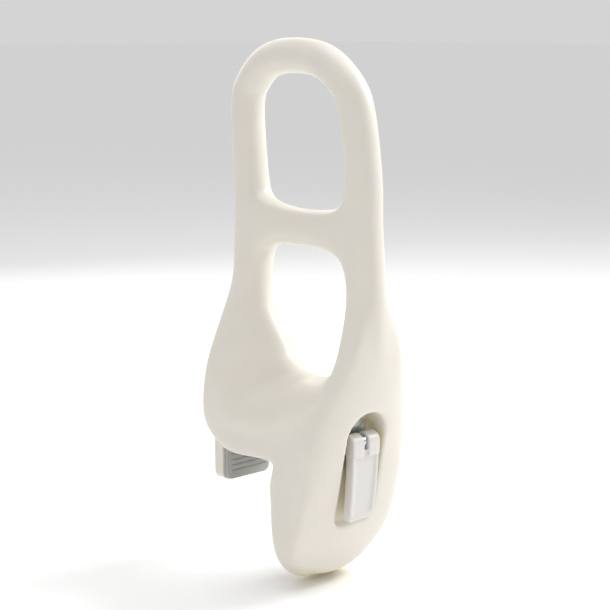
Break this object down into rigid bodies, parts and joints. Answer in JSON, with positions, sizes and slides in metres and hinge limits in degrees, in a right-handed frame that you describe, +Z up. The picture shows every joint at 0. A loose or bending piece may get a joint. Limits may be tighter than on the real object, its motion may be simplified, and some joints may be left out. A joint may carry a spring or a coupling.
{
  "type": "clamp-on bathtub rail",
  "caption": "Hollow moulded loop with stacked hand openings and a saddle that straddles a bathtub wall, clamped from outside by a cam lever on a pull rod.",
  "frame": {"origin": "centre of the saddle pad's contact with the flat top of the tub's rim", "axes": "+X along the rim, +Y from the lever side into the tub, +Z up"},
  "size_m": [0.1124, 0.2185, 0.4649],
  "materials": {
    "rail_plastic": "fine moulded satin, warm cream",
    "lever_plastic": "smooth moulded, near white",
    "nylon": "natural nylon",
    "zinc_steel": "zinc plated",
    "brass": "turned",
    "rubber": "pale grey, non-marking"
  },
  "bodies": {
    "rail": {"rail_body": "rail_plastic", "saddle_pad": "rubber", "leg_pad": "rubber", "front_bushing": "nylon", "cam_wear_plate": "zinc_steel", "crush_tube": "zinc_steel", "rear_guide_block": "nylon", "guide_block_screw_1": "zinc_steel", "guide_block_screw_2": "zinc_steel", "guide_block_screw_3": "zinc_steel", "guide_block_screw_4": "zinc_steel"},
    "rod": {"clamp_rod": "zinc_steel", "rod_end_clip": "zinc_steel"},
    "lever": {"cam_lever": "lever_plastic", "lever_pivot_pin": "zinc_steel"},
    "jaw": {"inner_jaw": "nylon", "jaw_pad": "rubber", "jaw_guide_pin_left": "zinc_steel", "jaw_guide_pin_right": "zinc_steel", "thrust_washer": "zinc_steel"},
    "knob": {"adjusting_knob": "nylon", "knob_insert_nut": "brass"}
  },
  "joints": [
    {"name": "rod_pull", "type": "slide", "parent": "rail", "child": "rod", "axis": [0, 1, 0], "range_m": [0, 0.0025]},
    {"name": "lever_fold", "type": "hinge", "parent": "rod", "child": "lever", "pos_m": [0, -0.1045, 0.025], "axis": [-1, 0, 0], "range_deg": [0, 105]},
    {"name": "jaw_adjust", "type": "slide", "parent": "rod", "child": "jaw", "axis": [0, 1, 0], "range_m": [-0.008, 0.014]},
    {"name": "knob_turn", "type": "hinge", "parent": "jaw", "child": "knob", "pos_m": [0, 0.0666, 0.025], "axis": [0, 1, 0], "range_deg": [-960, 1680]}
  ],
  "couplings": [
    {"joint": "rod_pull", "follows": "lever_fold", "m_per_rad": 0.001364},
    {"joint": "knob_turn", "follows": "jaw_adjust", "rad_per_m": 2094.3}
  ]
}
